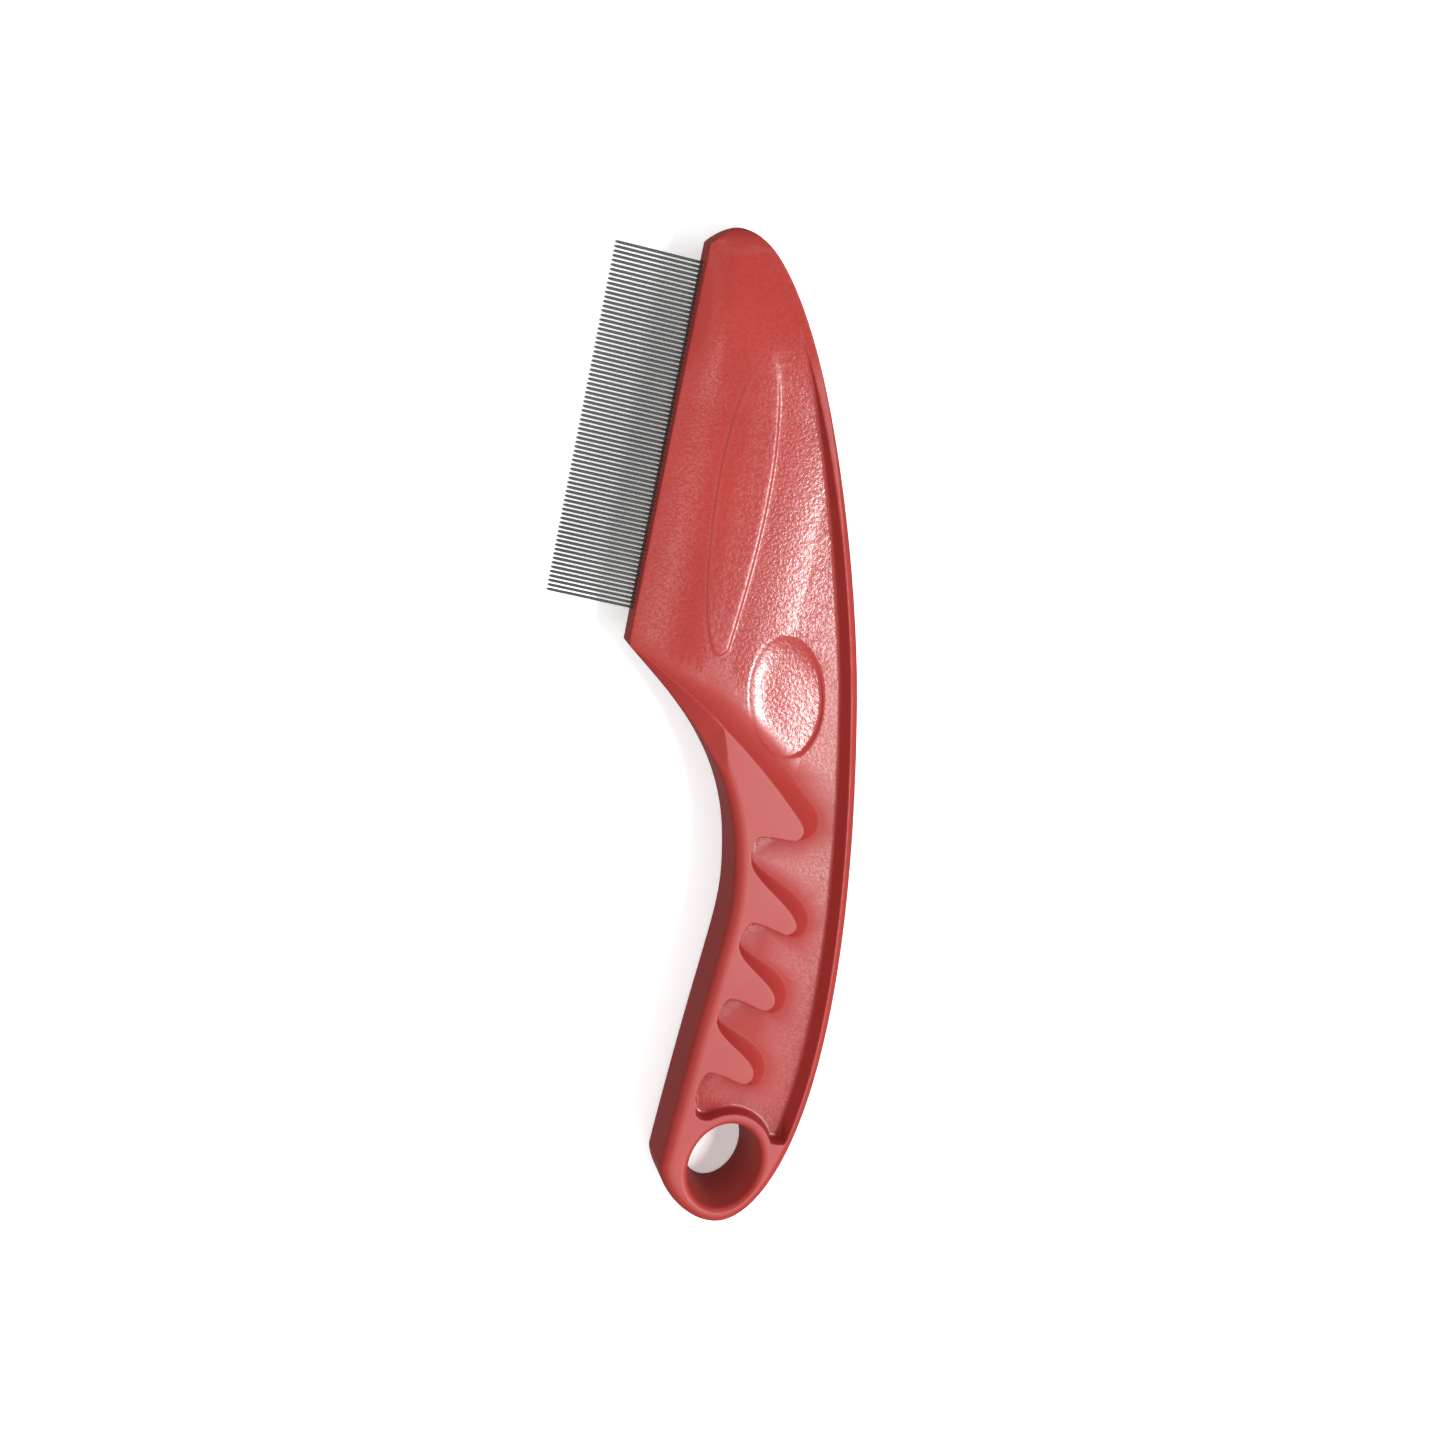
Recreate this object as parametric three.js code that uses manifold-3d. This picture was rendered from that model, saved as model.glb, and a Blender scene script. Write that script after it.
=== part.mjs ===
// A flea comb: one moulded plastic handle that holds a row of fine steel teeth.
// The teeth are wires bent like hairpins. A wire's two legs are two neighbouring teeth, and its
// bend is locked inside the plastic of the head.
// Millimetres and degrees. The comb lies flat: +Y runs along the handle to the head, the teeth
// point towards -X, and +Z is up. Both faces are alike, so the part is its own mirror in Z.

import * as THREE from "three";
import { mergeVertices } from "three/addons/utils/BufferGeometryUtils.js";
import Module from "manifold-3d";

const wasm = await Module();
wasm.setup();

// ---- Driving dimensions -------------------------------------------------------------------

// Whole comb
const length = 175;
const thickness = 14; // over the raised faces of the grip
const edgeRound = 1.4; // on the outer edges of the raised faces

// Row of teeth
const pairCount = 39; // bent wires, each making two teeth
const rowSpan = 59.1; // first tooth to last, centre to centre
const rowTilt = 12; // how far the row leans from the Y axis
const toothLean = 2.5; // how far a tooth leans from square to the row
const toothLength = 15.2; // what stands out of the plastic
const wireDiameter = 0.5;
const tipTaper = 0.35; // length of the taper at a tooth's end
const tipDiameter = 0.25;
const seatDepth = 4; // straight part of each leg inside the plastic
const seatClearance = 0.05;

// Head
const edgeThickness = 5.6; // along the edge that holds the teeth
const crownThickness = 8.6; // over the leaf
const crownInset = 13; // from the toothed edge to the crown
const crownFall = 14; // from the crown to the level floor
const marginBelowRow = 0.4; // from the toothed edge's lower end to the first tooth
const marginAboveRow = 3.4; // from the last tooth to the shoulder
const noseReach = 5.2; // from the shoulder across to the top of the nose
const noseRise = 2.4;
const noseThickness = 7;

// Floor of the two recesses, and the raised border round them
const floorThickness = 7.6;
const rimWidth = 1.5; // of the raised rim along the back
const wallRun = 0.9; // how far a recess wall slopes in on its way down
const rimFadeStart = 17; // from here up, the rim gets lower until the nose

// Fins on the grip
const stripWidth = 2.9; // plain strip between the grip's edge and the notches
const finShares = [0.02, 0.265, 0.505, 0.745]; // where the notches lie along the grip's edge
const finReach = 9.2; // from a notch to the tip of its fin, across the grip
const finRise = 4.9; // from a notch to the tip of its fin, along the grip
const ridgeBulge = 3.5; // how far the ridge bows out on its way to the chin
const chinSlopeLength = 17; // run of the slope from the raised faces down to the chin

// Leaf and thumb dish
const leafLength = 52;
const leafWidth = 8.2;
const leafTilt = 10; // its long axis from the Y axis
const leafBlunt = 1.8; // width of its lower end
const leafHeight = 0.3;
const dishLength = 21.8;
const dishWidth = 13.2;
const dishDepth = 0.8;
const dishTilt = 4;

// Hole to hang the comb by
const holeLength = 16;
const holeWidth = 12.8;
const holeTilt = -21; // its long axis from the Y axis
const holeTaper = 0.86; // size at the underside against the top
const heelWall = 2.9; // plastic between the hole and the bottom end
const holeFlare = 0.9; // rounding of its mouths
const bossWidth = 2.1; // raised ring between the hole and the recess

// ---- Plan of the handle -------------------------------------------------------------------

const at = (x, y) => new THREE.Vector2(x, y);
const turned = (degrees) => THREE.MathUtils.degToRad(degrees);

const midHeight = thickness / 2;

// The toothed edge: a straight line from its foot up to the shoulder.
const rowAlong = at(Math.sin(turned(rowTilt)), Math.cos(turned(rowTilt)));
const rowInward = at(rowAlong.y, -rowAlong.x);
const rowFoot = at(-15.7, 20.6);
const shoulder = rowFoot
  .clone()
  .addScaledVector(rowAlong, marginBelowRow + rowSpan + marginAboveRow);

const nose = at(shoulder.x + noseReach, shoulder.y + noseRise);
const back = at(22.7, 3); // the back's widest point
const waist = at(0.9, -22); // where the grip is drawn in under the neck
const chin = at(-16.8, 15.1);
const heel = at(-2, nose.y - length); // the bottom end
const heelSide = at(-12.6, heel.y + 11.5);
const holeCentre = at(heel.x + 1, heel.y + heelWall + holeLength / 2);
const leafFoot = at(-1.9, 13.2);
const dishCentre = at(10.3, 5);

// A cubic curve between two places, leaving the first and reaching the second in given directions.
function curve(from, leave, arrive, to) {
  return new THREE.CubicBezierCurve(from, from.clone().add(leave), to.clone().sub(arrive), to);
}

const backDrop = back.y - heel.y;
const backRise = nose.y - back.y;
const gripDrop = waist.y - heelSide.y;
const neck = curve(chin, at(8.9, -11), at(0, -16.6), waist);
const gripEdge = curve(waist, at(0, -0.25 * gripDrop), at(-0.2 * gripDrop, -0.78 * gripDrop), heelSide);
const heelTurn = curve(heelSide, at(0.3, -5.6), at(4.9, 0), heel);
const backLower = curve(heel, at(9, 0), at(0, 0.774 * backDrop), back);
const backUpper = curve(back, at(0, 0.36 * backRise), at(-12.7, 0), nose);
const brow = curve(nose, at(-2, 0), at(-1.4, -1), shoulder);

// Places along a curve, moved sideways: a positive distance goes to the left of its direction.
function pointsAlong(path, count, distance = 0) {
  return Array.from({ length: count + 1 }, (_, i) => {
    const along = path.getTangent(i / count);
    const sideways = at(-along.y, along.x);
    return path.getPoint(i / count).addScaledVector(sideways, distance);
  });
}

// One closed plan from several runs of points; a point that repeats the one before it is dropped.
function planOf(...runs) {
  const points = runs.flat();
  return new THREE.Shape(points.filter((p, i) => i === 0 || p.distanceTo(points[i - 1]) > 1e-3));
}

const outline = planOf(
  [shoulder, rowFoot],
  pointsAlong(neck, 12),
  pointsAlong(gripEdge, 10),
  pointsAlong(heelTurn, 6),
  pointsAlong(backLower, 18),
  pointsAlong(backUpper, 18),
  pointsAlong(brow, 4).slice(0, -1),
);

// ---- Solids -------------------------------------------------------------------------------

// A closed geometry as a solid that can be cut and joined. One that has been mirrored is inside
// out, so its triangles are turned back.
function solid(geometry, mirrored = false) {
  geometry.deleteAttribute("normal");
  geometry.deleteAttribute("uv");
  const merged = mergeVertices(geometry, 1e-4);
  const corners = merged.index.array;
  const triVerts = [];
  for (let i = 0; i < corners.length; i += 3) {
    const [a, b, c] = corners.slice(i, i + 3);
    if (a !== b && b !== c && c !== a) triVerts.push(...(mirrored ? [a, c, b] : [a, b, c]));
  }
  return new wasm.Manifold(
    new wasm.Mesh({
      numProp: 3,
      vertProperties: merged.attributes.position.array,
      triVerts: new Uint32Array(triVerts),
    }),
  );
}

// A cutter for the upper face, together with its mirror image for the lower face.
function forBothFaces(geometry) {
  const lower = geometry.clone().scale(1, 1, -1).translate(0, 0, thickness);
  return solid(geometry).add(solid(lower, true));
}

// A mesh of a solid, which stays where it is.
function meshOf(body, name, material) {
  const { vertProperties, triVerts } = body.getMesh();
  const geometry = new THREE.BufferGeometry();
  geometry.setAttribute("position", new THREE.BufferAttribute(vertProperties, 3));
  geometry.setIndex(new THREE.BufferAttribute(triVerts, 1));
  geometry.computeVertexNormals();
  const mesh = new THREE.Mesh(geometry, material);
  mesh.name = name;
  return mesh;
}

// A plan raised from one level to another. A bevel eats inwards at both ends.
function plate(shape, low, high, bevel = 0, run = bevel, steps = 3) {
  const geometry = new THREE.ExtrudeGeometry(shape, {
    depth: high - low - 2 * bevel,
    bevelEnabled: bevel > 0,
    bevelThickness: bevel,
    bevelSize: run,
    bevelOffset: -run,
    bevelSegments: steps,
  });
  return geometry.translate(0, 0, low + bevel);
}

// The region between a curve of half thicknesses and its mirror image, as a shape.
function lens(upper) {
  const lower = upper.map((p) => at(p.x, -p.y)).reverse();
  return new THREE.Shape([...upper, ...lower]);
}

// An extrusion whose shape stands upright: its x runs along a level direction, its y is height,
// and it reaches half a width to each side of the place given.
function uprightSlab(shape, place, direction, halfWidth) {
  const along = new THREE.Vector3(direction.x, direction.y, 0);
  const up = new THREE.Vector3(0, 0, 1);
  const across = new THREE.Vector3().crossVectors(along, up);
  const geometry = new THREE.ExtrudeGeometry(shape, { depth: 2 * halfWidth, bevelEnabled: false });
  return geometry
    .translate(0, 0, -halfWidth)
    .applyMatrix4(new THREE.Matrix4().makeBasis(along, up, across))
    .translate(place.x, place.y, midHeight);
}

// ---- Handle: outer body, recesses and floor -----------------------------------------------

const farOut = 60; // clear of the part on every side

// Seen from the side, the handle keeps its thickness up the grip and thins towards the nose.
function sideProfile() {
  const thinning = new THREE.QuadraticBezierCurve(
    at(rimFadeStart, midHeight),
    at((rimFadeStart + nose.y) / 2, midHeight),
    at(nose.y, noseThickness / 2),
  );
  const upper = [at(heel.y - 1, midHeight), ...thinning.getPoints(10), at(nose.y + 1, noseThickness / 2)];
  return solid(uprightSlab(lens(upper), at(0, 0), at(0, 1), farOut));
}

// Across the head, the floor swells from the toothed edge to a crown and falls to its level part.
function floorSection(extra) {
  const rise = new THREE.QuadraticBezierCurve(
    at(0, edgeThickness / 2),
    at(crownInset / 2, crownThickness / 2),
    at(crownInset, crownThickness / 2),
  );
  const level = at(crownInset + crownFall, floorThickness / 2);
  const fall = curve(at(crownInset, crownThickness / 2), at(crownFall / 2, 0), at(crownFall / 2, 0), level);
  const upper = [
    at(-1, edgeThickness / 2),
    ...rise.getPoints(6),
    ...fall.getPoints(6).slice(1),
    at(level.x + farOut, level.y),
  ];
  const raised = upper.map((p) => at(p.x, p.y + extra));
  return solid(uprightSlab(lens(raised), rowFoot, rowInward, 3 * farOut));
}

// A place beside the grip's edge, so much along it towards the head and so much across it.
function besideGripEdge(share, along, across) {
  const place = gripEdge.getPointAt(share);
  const down = gripEdge.getTangentAt(share);
  const inward = at(-down.y, down.x);
  return place.addScaledVector(down, -along).addScaledVector(inward, across);
}

// A place on an oval round the hole's centre, so far outside the hole.
function roundHole(degrees, outside) {
  const angle = turned(degrees);
  return at(
    (holeWidth / 2 + outside) * Math.cos(angle),
    (holeLength / 2 + outside) * Math.sin(angle),
  )
    .rotateAround(at(0, 0), turned(holeTilt))
    .add(holeCentre);
}

// The fins' edge from the lowest notch to the first fin's tip, in order up the grip. It starts
// a little below and inside the lowest notch, where the edge of the boss ends.
function finEdge() {
  const points = [];
  let before = besideGripEdge(finShares.at(-1), -3.4, stripWidth + 1.2);
  [...finShares].reverse().forEach((share, i) => {
    const along = gripEdge.getTangentAt(share).negate();
    const across = at(along.y, -along.x);
    const place = (up, inward) => besideGripEdge(share, up, stripWidth + inward);
    const scaled = (up, inward) =>
      along.clone().multiplyScalar(up).addScaledVector(across, inward);
    const notch = place(0, 0);
    const notchTop = place(finRise - 0.8, 1.4);
    const under = place(finRise - 1.9, finReach - 1.6);
    const tip = place(finRise, finReach);
    const leave = i === 0 ? scaled(0.9, -0.9) : scaled(3.5, 0);
    points.push(
      ...pointsAlong(curve(before, leave, scaled(i === 0 ? 1 : 3.5, 0), notch), i === 0 ? 3 : 8),
      ...pointsAlong(curve(notch, scaled(2.2, 0), scaled(0, 0.8), notchTop), 4),
      ...pointsAlong(curve(notchTop, scaled(0, 2.2), scaled(-0.5, 2.4), under), 5),
      ...pointsAlong(curve(under, scaled(0.2, 0.9), scaled(0.9, 0), tip), 4),
    );
    before = tip;
  });
  return points;
}

// The mouth of a recess: down the rim, round the boss, up the fins and the ridge to the chin, and
// then outside the toothed edge and the nose, where the recess has no border.
function recessPlan() {
  const rim = [
    ...pointsAlong(backUpper, 18, rimWidth).reverse(),
    ...pointsAlong(backLower, 18, rimWidth).reverse(),
  ].filter((p) => p.y > holeCentre.y + 6.4);
  const fins = finEdge();
  const finTip = fins.at(-1);
  const ridgeStart = at(finTip.x - 1.6, finTip.y + 3.3);
  const toChin = chin.clone().sub(ridgeStart);
  const bulge = at(toChin.y, -toChin.x).setLength(ridgeBulge);
  const ridgeBend = ridgeStart.clone().lerp(chin, 0.5).add(bulge);
  const ridge = new THREE.QuadraticBezierCurve(ridgeStart, ridgeBend, chin);
  const boss = [38, 50, 62, 75, 90, 105, 118].map((degrees) => roundHole(degrees, bossWidth));
  const tail = [roundHole(33, bossWidth + 2.2), roundHole(32, bossWidth + 1)];
  return planOf(
    [at(rim[0].x, nose.y + farOut)],
    rim,
    tail,
    boss,
    fins,
    new THREE.QuadraticBezierCurve(finTip, at(finTip.x, finTip.y + 1.6), ridgeStart).getPoints(3),
    ridge.getPoints(12),
    [chin.clone().add(at(-farOut, farOut / 2)), at(chin.x - farOut, nose.y + farOut)],
  );
}

// What the two recesses take out of the body, above and below the floor.
function recesses() {
  const plan = recessPlan();
  const depth = (thickness - floorThickness) / 2;
  const through = new THREE.ExtrudeGeometry(plan, {
    depth: thickness + 2,
    bevelEnabled: true,
    bevelThickness: 0.01,
    bevelSize: 0,
    bevelOffset: -wallRun,
    bevelSegments: 1,
  }).translate(0, 0, -1);
  const mouth = plate(plan, thickness - depth, thickness + 2 * depth, depth, wallRun, 1);
  return solid(through).add(forBothFaces(mouth));
}

// Where the ridge runs out to the chin, the raised faces slope down to the toothed edge's level.
function chinSlopes() {
  const direction = chin.clone().sub(besideGripEdge(finShares[0], finRise, stripWidth + finReach));
  const start = chin.clone().addScaledVector(direction.normalize(), -chinSlopeLength);
  const third = chinSlopeLength / 3;
  const drop = (thickness - edgeThickness) / 2;
  const slope = curve(
    at(0, midHeight),
    at(third, -drop / 7),
    at(third, -drop / 5),
    at(chinSlopeLength, edgeThickness / 2),
  );
  const beyond = chinSlopeLength + farOut;
  const above = new THREE.Shape([
    at(0, thickness),
    ...slope.getPoints(5),
    at(beyond, edgeThickness / 2),
    at(beyond, thickness),
  ]);
  return forBothFaces(uprightSlab(above, start, direction, chinSlopeLength));
}

// ---- Handle: leaf, thumb dish and hole ----------------------------------------------------

// Two bowed sides that meet in a point at the top and end at a blunt foot.
function leafPlan() {
  const axis = at(Math.sin(turned(leafTilt)), Math.cos(turned(leafTilt))).multiplyScalar(leafLength);
  const high = leafFoot.clone().add(axis);
  const bulge = at(axis.y, -axis.x).setLength((leafWidth / 2) * (4 / 3));
  const third = axis.clone().divideScalar(3);
  const blunt = bulge.clone().setLength(leafBlunt / 2);
  const lowRight = leafFoot.clone().add(blunt);
  const lowLeft = leafFoot.clone().sub(blunt);
  const right = curve(lowRight, third.clone().add(bulge), third.clone().sub(bulge), high);
  const down = third.clone().negate();
  const left = curve(high, down.clone().sub(bulge), down.clone().add(bulge), lowLeft);
  return planOf(pointsAlong(right, 12), pointsAlong(left, 12));
}

// A shallow oval hollow, turned like a dish and stretched along the handle. It also clears the
// little that the crown rises over the level floor.
function dishCutter() {
  const radius = dishWidth / 2;
  const above = (crownThickness - floorThickness) / 2 + 1;
  const profile = [
    at(0, -dishDepth),
    at(0.68 * radius, -0.85 * dishDepth),
    at(0.9 * radius, -0.45 * dishDepth),
    at(radius, 0),
    at(radius, above),
    at(0, above),
  ];
  return new THREE.LatheGeometry(profile, 28)
    .rotateX(Math.PI / 2)
    .scale(1, dishLength / dishWidth, 1)
    .rotateZ(turned(dishTilt))
    .translate(dishCentre.x, dishCentre.y, midHeight + floorThickness / 2);
}

// The hole is narrower at the underside, and both its mouths are rounded.
function holeCutter() {
  const top = holeWidth / 2;
  const low = top * holeTaper;
  const profile = [
    at(0, -1),
    at(low + holeFlare, -1),
    at(low + holeFlare, 0),
    at(low + 0.3 * holeFlare, 0.3 * holeFlare),
    at(low, holeFlare),
    at(top, thickness - holeFlare),
    at(top + 0.3 * holeFlare, thickness - 0.3 * holeFlare),
    at(top + holeFlare, thickness),
    at(top + holeFlare, thickness + 1),
    at(0, thickness + 1),
  ];
  return new THREE.LatheGeometry(profile, 32)
    .rotateX(Math.PI / 2)
    .scale(1, holeLength / holeWidth, 1)
    .rotateZ(turned(holeTilt))
    .translate(holeCentre.x, holeCentre.y, 0);
}

// ---- Teeth --------------------------------------------------------------------------------

const toothPitch = rowSpan / (2 * pairCount - 1);
const bendRadius = (toothPitch * Math.cos(turned(toothLean))) / 2;
const wireSides = 6;
const bendSteps = 4;

// A straight wire with tapered ends, bent round into two legs. The legs run along +X from the
// ends of the bend, and the bend is centred on the Y axis.
function bentWire(radius, legLength, taper, tipRadius) {
  const halfBend = (Math.PI / 2) * bendRadius;
  const end = halfBend + legLength;
  const bend = Array.from({ length: bendSteps + 1 }, (_, i) =>
    at(radius, halfBend * ((2 * i) / bendSteps - 1)),
  );
  const straight = new THREE.LatheGeometry(
    [
      at(0, -end),
      at(tipRadius, -end),
      at(radius, taper - end),
      ...bend,
      at(radius, end - taper),
      at(tipRadius, end),
      at(0, end),
    ],
    wireSides,
  );
  const place = straight.attributes.position;
  for (let i = 0; i < place.count; i += 1) {
    const side = place.getX(i);
    const along = place.getY(i);
    const angle = THREE.MathUtils.clamp(along, -halfBend, halfBend) / bendRadius;
    const beyond = Math.max(Math.abs(along) - halfBend, 0);
    const reach = bendRadius + side;
    place.setXYZ(i, beyond - reach * Math.cos(angle), reach * Math.sin(angle), -place.getZ(i));
  }
  return straight;
}

// Each pair's place: turned to the teeth's direction, with its legs' straight parts seated.
const toothAngle = Math.PI + turned(-rowTilt - toothLean);
const toothOutward = at(Math.cos(toothAngle), Math.sin(toothAngle));

function pairPlace(index) {
  const station = marginBelowRow + (2 * index + 0.5) * toothPitch;
  return rowFoot
    .clone()
    .addScaledVector(rowAlong, station)
    .addScaledVector(toothOutward, -seatDepth);
}

// ---- Assembly -----------------------------------------------------------------------------

function handleBody() {
  const body = solid(plate(outline, 0, thickness, edgeRound));
  const border = body.subtract(recesses()).subtract(chinSlopes());
  const slab = solid(plate(outline, -1, thickness + 1));
  const leaf = solid(plate(leafPlan(), -1, thickness + 1));
  const floor = slab.intersect(floorSection(0));
  const raisedLeaf = leaf.intersect(floorSection(leafHeight));
  let handle = border
    .add(floor)
    .intersect(sideProfile())
    .add(raisedLeaf)
    .subtract(forBothFaces(dishCutter()))
    .subtract(solid(holeCutter()));
  const socket = bentWire(wireDiameter / 2 + seatClearance, seatDepth + 1, 0.1, wireDiameter / 2);
  for (let i = 0; i < pairCount; i += 1) {
    const place = pairPlace(i);
    const cut = socket.clone().rotateZ(toothAngle).translate(place.x, place.y, midHeight);
    handle = handle.subtract(solid(cut));
  }
  return handle;
}

const plastic = new THREE.MeshStandardMaterial({
  color: 0xc0413f,
  roughness: 0.38,
  metalness: 0,
  flatShading: true,
});
const steel = new THREE.MeshStandardMaterial({
  color: 0x9a9c98,
  roughness: 0.3,
  metalness: 1,
  flatShading: true,
});

const comb = new THREE.Group();
comb.add(meshOf(handleBody(), "handle", plastic));

const wire = meshOf(
  solid(bentWire(wireDiameter / 2, seatDepth + toothLength, tipTaper, tipDiameter / 2)),
  "",
  steel,
);
for (let i = 0; i < pairCount; i += 1) {
  const pair = new THREE.Mesh(wire.geometry, steel);
  const place = pairPlace(i);
  pair.name = "tooth_pair_" + String(i + 1).padStart(2, "0");
  pair.position.set(place.x, place.y, midHeight);
  pair.rotation.z = toothAngle;
  comb.add(pair);
}

// The origin is the middle of the comb's footprint, on the surface it lies on.
comb.updateMatrixWorld(true);
const box = new THREE.Box3().setFromObject(comb);
comb.position.set(-(box.min.x + box.max.x) / 2, -(box.min.y + box.max.y) / 2, -box.min.z);

export default comb;
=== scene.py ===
# %% [markdown]
# # A flea comb, modelled around its CAD frame
# The comb is one piece of red moulded plastic with a row of steel teeth set into its head.
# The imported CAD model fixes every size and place. This script gives the same comb the surfaces,
# small shapes and finishes that the CAD model leaves out, and it never moves a CAD part.

# %% Load the frame
import math

import bpy
import numpy as np
from mathutils import Matrix, Vector


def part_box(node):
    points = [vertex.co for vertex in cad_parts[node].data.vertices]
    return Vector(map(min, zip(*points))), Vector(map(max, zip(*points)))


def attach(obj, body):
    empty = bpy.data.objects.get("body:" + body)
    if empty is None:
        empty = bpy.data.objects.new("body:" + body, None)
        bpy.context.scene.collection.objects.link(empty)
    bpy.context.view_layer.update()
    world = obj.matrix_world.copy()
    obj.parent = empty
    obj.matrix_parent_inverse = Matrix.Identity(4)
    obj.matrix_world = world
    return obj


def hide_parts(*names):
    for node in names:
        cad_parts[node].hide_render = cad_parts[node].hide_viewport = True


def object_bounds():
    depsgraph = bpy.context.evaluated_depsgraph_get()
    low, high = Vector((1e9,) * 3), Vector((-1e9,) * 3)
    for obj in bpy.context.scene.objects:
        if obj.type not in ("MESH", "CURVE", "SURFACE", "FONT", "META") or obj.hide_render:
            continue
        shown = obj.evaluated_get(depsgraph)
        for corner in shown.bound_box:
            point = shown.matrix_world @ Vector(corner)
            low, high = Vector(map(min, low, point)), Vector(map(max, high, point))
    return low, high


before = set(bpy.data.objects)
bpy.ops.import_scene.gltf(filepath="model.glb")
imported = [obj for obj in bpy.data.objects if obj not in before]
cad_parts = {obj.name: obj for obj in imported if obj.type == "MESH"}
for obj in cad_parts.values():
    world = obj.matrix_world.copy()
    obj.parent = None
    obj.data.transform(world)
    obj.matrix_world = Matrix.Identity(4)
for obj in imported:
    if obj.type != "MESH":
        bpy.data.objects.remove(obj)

cad_low, cad_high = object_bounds()
MM = 0.001  # one millimetre in Blender's metres
print("CAD box, mm:", [round(v / MM, 2) for v in (*cad_low, *cad_high)])

# %% [markdown]
# ## Places in the frame
# The handle's box gives the middle level between its two faces and where its outline lies.
# The outline is drawn in millimetres from a point level with the thumb dish, so one small
# function turns a place on that drawing into a place in the frame.

# %% Read the handle's box
handle_low, handle_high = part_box("handle")
tooth_nodes = sorted(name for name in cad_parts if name.startswith("tooth_pair_"))
THICKNESS = handle_high.z - handle_low.z
MIDDLE = (handle_high.z + handle_low.z) / 2
BACK = (22.7, 3.0)  # the back's widest point on the drawing
NOSE = (2.57, 84.52)  # the top of the head on the drawing
ORIGIN = np.array([handle_high.x - BACK[0] * MM, handle_high.y - NOSE[1] * MM])
print("handle is", round(THICKNESS / MM, 2), "mm thick, with", len(tooth_nodes), "pairs of teeth")


def at(x, y):
    """A place on the drawing, in millimetres, as a place in the frame."""
    return ORIGIN + np.array([x, y]) * MM


def step(x, y):
    """A distance on the drawing, in millimetres, in the frame's metres."""
    return np.array([x, y]) * MM


# %% [markdown]
# ## Drawing the handle
# A moulded handle starts as a drawing: a few smooth curves that meet at corners. It could be a
# polygon with many hand-placed points, but cubic curves need only two ends and two directions
# each, and they stay smooth however finely they are cut. Each run below is one such curve.

# %% Curves
def curve(start, leave, arrive, end, count=40):
    """Points on a cubic from start to end, leaving and arriving in the given directions."""
    t = np.linspace(0, 1, count + 1)[:, None]
    a, b, c, d = start, start + leave, end - arrive, end
    return (1 - t) ** 3 * a + 3 * (1 - t) ** 2 * t * b + 3 * (1 - t) * t**2 * c + t**3 * d


def directions(points):
    """The unit direction of a run at each of its points."""
    d = np.gradient(points, axis=0)
    return d / np.linalg.norm(d, axis=1)[:, None]


def sideways(points, distance):
    """A run moved to its left by a distance."""
    d = directions(points)
    return points + distance * np.stack([-d[:, 1], d[:, 0]], axis=1)


def joined(*runs):
    """Runs put end to end, without the points that repeat."""
    points = np.concatenate(runs)
    gaps = np.linalg.norm(points - np.roll(points, 1, axis=0), axis=1)
    return points[gaps > 1e-6]


ROW_TILT = math.radians(12)  # how far the toothed edge leans from the handle's length
TOOTHED_EDGE = 62.9 * MM
row_along = np.array([math.sin(ROW_TILT), math.cos(ROW_TILT)])
row_inward = np.array([row_along[1], -row_along[0]])
row_foot = at(-15.7, 20.6)
shoulder = row_foot + TOOTHED_EDGE * row_along
nose, back, waist, chin = at(*NOSE), at(*BACK), at(0.9, -22), at(-16.8, 15.1)
heel = np.array([at(-2, 0)[0], handle_low.y])
heel_side = heel + step(-10.6, 11.5)

neck = curve(chin, step(8.9, -11), step(0, -16.6), waist)
grip_edge = curve(waist, step(0, -14.2), step(-11.4, -44.4), heel_side)
heel_turn = curve(heel_side, step(0.3, -5.6), step(4.9, 0), heel, 24)
back_lower = curve(heel, step(9, 0), step(0, 72.3), back, 90)
back_upper = curve(back, step(0, 29.3), step(-12.7, 0), nose, 70)
brow = curve(nose, step(-2, 0), step(-1.4, -1), shoulder, 10)
outline = joined([row_foot], [chin], neck, grip_edge, heel_turn, back_lower, back_upper, brow)
print("the outline has", len(outline), "points")

# %% [markdown]
# ## The recess and its fins
# Both faces of the handle are hollowed between a raised rim along the back, a ring round the
# hanging hole, and fins that give the fingers grip. The edge of that hollow is one closed run.
# The fins are one shape repeated, so a loop places each beside the grip's edge.

# %% The edge of the recess
RIM_WIDTH = 1.5 * MM
STRIP = 2.9 * MM  # plain strip between the grip's edge and the fins' notches
FIN_SHARES = [0.02, 0.265, 0.505, 0.745]  # where the notches lie along the grip's edge
HOLE_LONG, HOLE_WIDE, HOLE_TILT = 16 * MM, 12.8 * MM, math.radians(-21)
BOSS = 2.1 * MM  # raised ring round the hole
RIM_STOP = 3.1 * MM  # the rim's edge ends this far above the hole's centre
hole_centre = heel + step(1, 10.9)

edge_length = np.concatenate([[0], np.cumsum(np.linalg.norm(np.diff(grip_edge, axis=0), axis=1))])
edge_direction = directions(grip_edge)


def beside_grip(share):
    """The place at that share of the grip's edge, and its directions up the grip and across it."""
    wanted = share * edge_length[-1]
    place = np.array([np.interp(wanted, edge_length, grip_edge[:, i]) for i in (0, 1)])
    down = np.array([np.interp(wanted, edge_length, edge_direction[:, i]) for i in (0, 1)])
    down = down / np.linalg.norm(down)
    return place, -down, np.array([-down[1], down[0]])


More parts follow.
